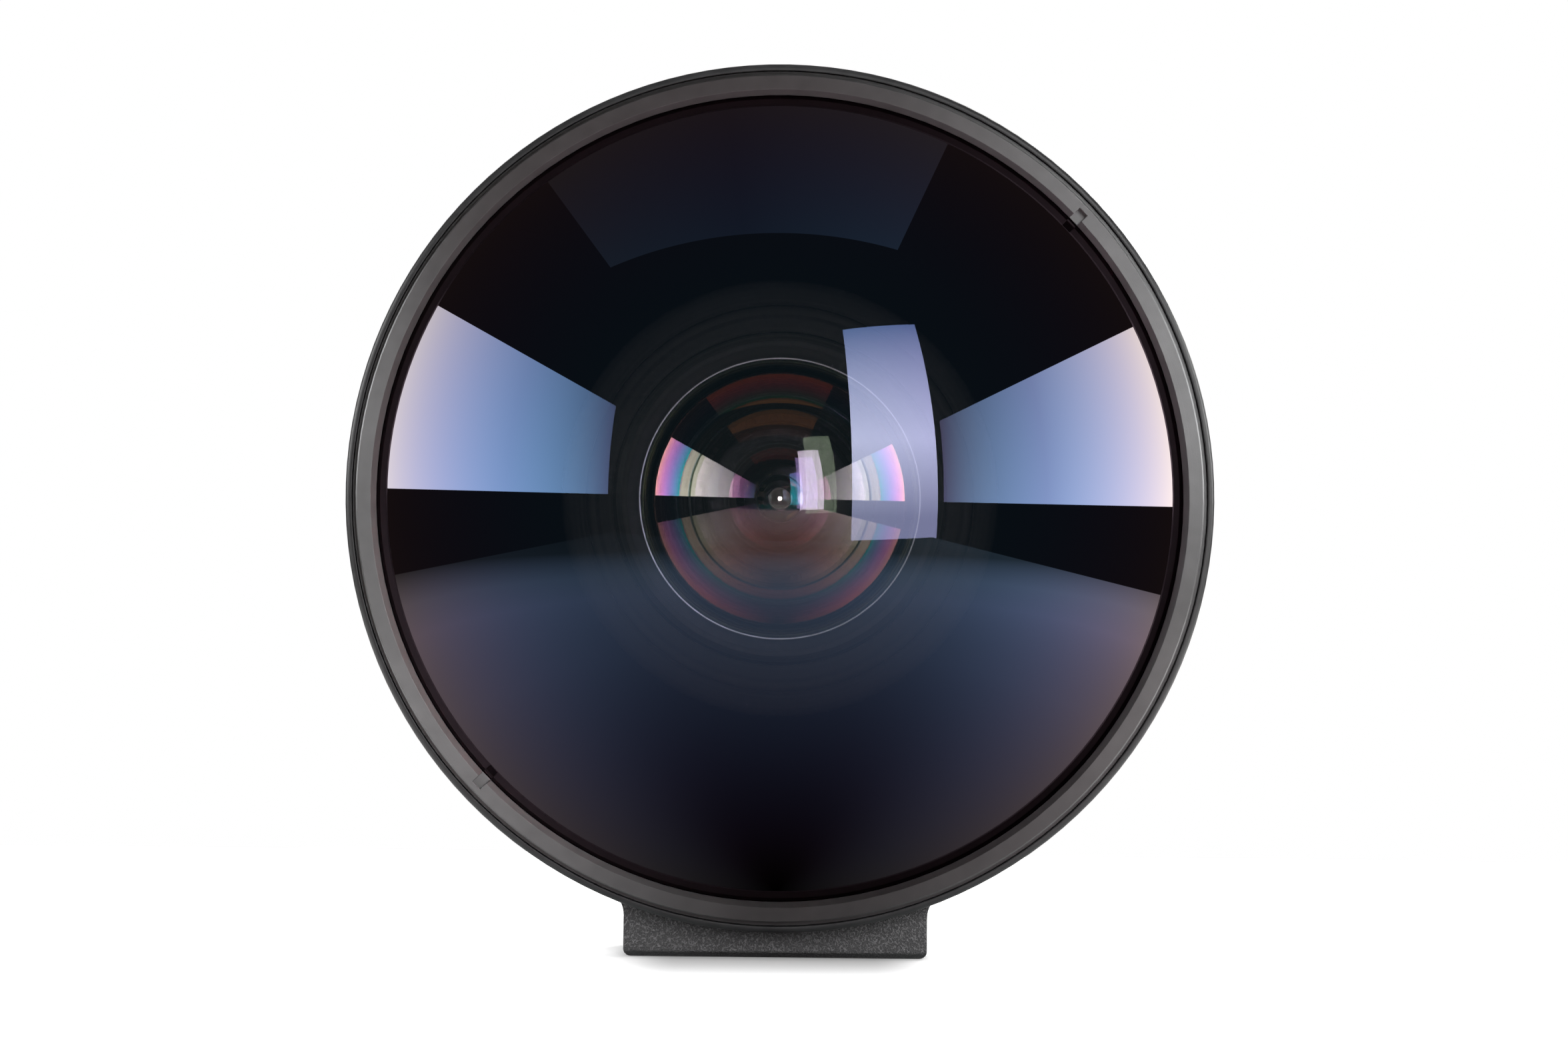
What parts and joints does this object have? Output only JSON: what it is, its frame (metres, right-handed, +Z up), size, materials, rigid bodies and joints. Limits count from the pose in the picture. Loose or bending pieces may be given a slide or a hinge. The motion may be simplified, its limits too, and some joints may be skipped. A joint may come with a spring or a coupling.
{
  "type": "fisheye lens",
  "caption": "Circular fisheye lens with a huge domed front glass, a cast black bell casing, focus, filter and aperture rings, a bayonet mount and a tripod foot.",
  "frame": {"origin": "centre of the foot's bottom face, on the ground", "axes": "+Z up, -Y the way the front glass faces, along the optical axis, +X to the right as seen from the front"},
  "size_m": [0.236, 0.17, 0.2435],
  "materials": {
    "dome_glass": "polished",
    "second_glass": "polished",
    "third_glass": "polished",
    "inner_glass": "polished",
    "satin_grey": "satin",
    "black_anodised": "satin",
    "crinkle_black": "matte",
    "flat_black": "matte",
    "helicoid_brass": "satin",
    "gear_brass": "satin",
    "steel": "satin",
    "black_screw": "satin",
    "bush_steel": "satin",
    "mount_chrome": "satin",
    "rubber": "matte",
    "filter_clear": "polished",
    "filter_yellow": "polished",
    "filter_green": "polished",
    "filter_orange": "polished",
    "filter_red": "polished"
  },
  "bodies": {
    "barrel": {"front_element": "dome_glass", "front_retainer": "satin_grey", "front_barrel": "black_anodised", "glass_gasket": "rubber", "bell_casing": "crinkle_black", "tripod_foot": "crinkle_black", "foot_screws": "black_screw", "tripod_bush_large": "bush_steel", "tripod_bush_small": "bush_steel", "front_cell": "flat_black", "cell_screws": "black_screw", "second_element": "second_glass", "second_retainer": "satin_grey", "mid_barrel": "black_anodised", "neck_screws": "black_screw", "turret_housing": "helicoid_brass", "turret_axle": "steel", "barrel_screws": "black_screw", "iris_plate": "flat_black", "rear_barrel": "black_anodised", "rear_cell": "flat_black", "rear_doublet_front": "inner_glass", "rear_doublet_back": "inner_glass", "rear_element": "inner_glass", "rear_retainer": "flat_black", "rear_baffle": "flat_black", "mount_plate": "mount_chrome", "mount_screws": "bush_steel"},
    "focus_control": {"focus_ring": "black_anodised", "focus_grip": "rubber"},
    "focus_group": {"focus_tube": "flat_black", "third_element": "third_glass", "third_retainer": "flat_black", "doublet_front": "inner_glass", "doublet_rear": "inner_glass", "doublet_retainer": "flat_black", "cam_followers": "helicoid_brass"},
    "filter_control": {"filter_ring": "black_anodised", "selector_gear": "gear_brass"},
    "turret": {"turret_disc": "gear_brass", "filter_clear": "filter_clear", "filter_yellow": "filter_yellow", "filter_green": "filter_green", "filter_orange": "filter_orange", "filter_red": "filter_red"},
    "aperture_control": {"aperture_ring": "black_anodised", "coupling_fork": "mount_chrome", "link_pin": "steel", "drive_ring": "steel"},
    "lever": {"stop_lever": "steel"},
    "blade_1": {"iris_blade_1": "steel"},
    "blade_2": {"iris_blade_2": "steel"},
    "blade_3": {"iris_blade_3": "steel"},
    "blade_4": {"iris_blade_4": "steel"},
    "blade_5": {"iris_blade_5": "steel"},
    "blade_6": {"iris_blade_6": "steel"},
    "blade_7": {"iris_blade_7": "steel"}
  },
  "joints": [
    {"name": "focus_turn", "type": "hinge", "parent": "barrel", "child": "focus_control", "pos_m": [0, 0, 0.1255], "axis": [0, -1, 0], "range_deg": [0, 90.01]},
    {"name": "focus_travel", "type": "slide", "parent": "barrel", "child": "focus_group", "axis": [0, -1, 0], "range_m": [0, 0.0015]},
    {"name": "filter_turn", "type": "hinge", "parent": "barrel", "child": "filter_control", "pos_m": [0, 0, 0.1255], "axis": [0, -1, 0], "range_deg": [0, 184.32]},
    {"name": "turret_turn", "type": "hinge", "parent": "barrel", "child": "turret", "pos_m": [0.0135, 0, 0.1255], "axis": [0, -1, 0], "range_deg": [0, 288.01]},
    {"name": "aperture_turn", "type": "hinge", "parent": "barrel", "child": "aperture_control", "pos_m": [0, 0, 0.1255], "axis": [0, -1, 0], "range_deg": [0, 36]},
    {"name": "blade_turn_1", "type": "hinge", "parent": "barrel", "child": "blade_1", "pos_m": [0.0185, 0, 0.1255], "axis": [0, -1, 0], "range_deg": [0, 17.73]},
    {"name": "blade_turn_2", "type": "hinge", "parent": "barrel", "child": "blade_2", "pos_m": [0.01153, 0, 0.13996], "axis": [0, -1, 0], "range_deg": [0, 17.73]},
    {"name": "blade_turn_3", "type": "hinge", "parent": "barrel", "child": "blade_3", "pos_m": [-0.00412, 0, 0.14354], "axis": [0, -1, 0], "range_deg": [0, 17.73]},
    {"name": "blade_turn_4", "type": "hinge", "parent": "barrel", "child": "blade_4", "pos_m": [-0.01667, 0, 0.13353], "axis": [0, -1, 0], "range_deg": [0, 17.73]},
    {"name": "blade_turn_5", "type": "hinge", "parent": "barrel", "child": "blade_5", "pos_m": [-0.01667, 0, 0.11747], "axis": [0, -1, 0], "range_deg": [0, 17.73]},
    {"name": "blade_turn_6", "type": "hinge", "parent": "barrel", "child": "blade_6", "pos_m": [-0.00412, 0, 0.10746], "axis": [0, -1, 0], "range_deg": [0, 17.73]},
    {"name": "blade_turn_7", "type": "hinge", "parent": "barrel", "child": "blade_7", "pos_m": [0.01153, 0, 0.11104], "axis": [0, -1, 0], "range_deg": [0, 17.73]},
    {"name": "lever_swing", "type": "hinge", "parent": "barrel", "child": "lever", "pos_m": [0, 0, 0.1255], "axis": [0, -1, 0], "range_deg": [0, 12], "stiffness_Nm_per_rad": 0.05, "springref_deg": -11.46}
  ],
  "couplings": [
    {"joint": "focus_turn", "follows": "focus_travel", "rad_per_m": 1047.2},
    {"joint": "turret_turn", "follows": "filter_turn", "ratio": 1.5625},
    {"joint": "blade_turn_1", "follows": "aperture_turn", "ratio": 0.49233},
    {"joint": "blade_turn_2", "follows": "aperture_turn", "ratio": 0.49233},
    {"joint": "blade_turn_3", "follows": "aperture_turn", "ratio": 0.49233},
    {"joint": "blade_turn_4", "follows": "aperture_turn", "ratio": 0.49233},
    {"joint": "blade_turn_5", "follows": "aperture_turn", "ratio": 0.49233},
    {"joint": "blade_turn_6", "follows": "aperture_turn", "ratio": 0.49233},
    {"joint": "blade_turn_7", "follows": "aperture_turn", "ratio": 0.49233}
  ]
}
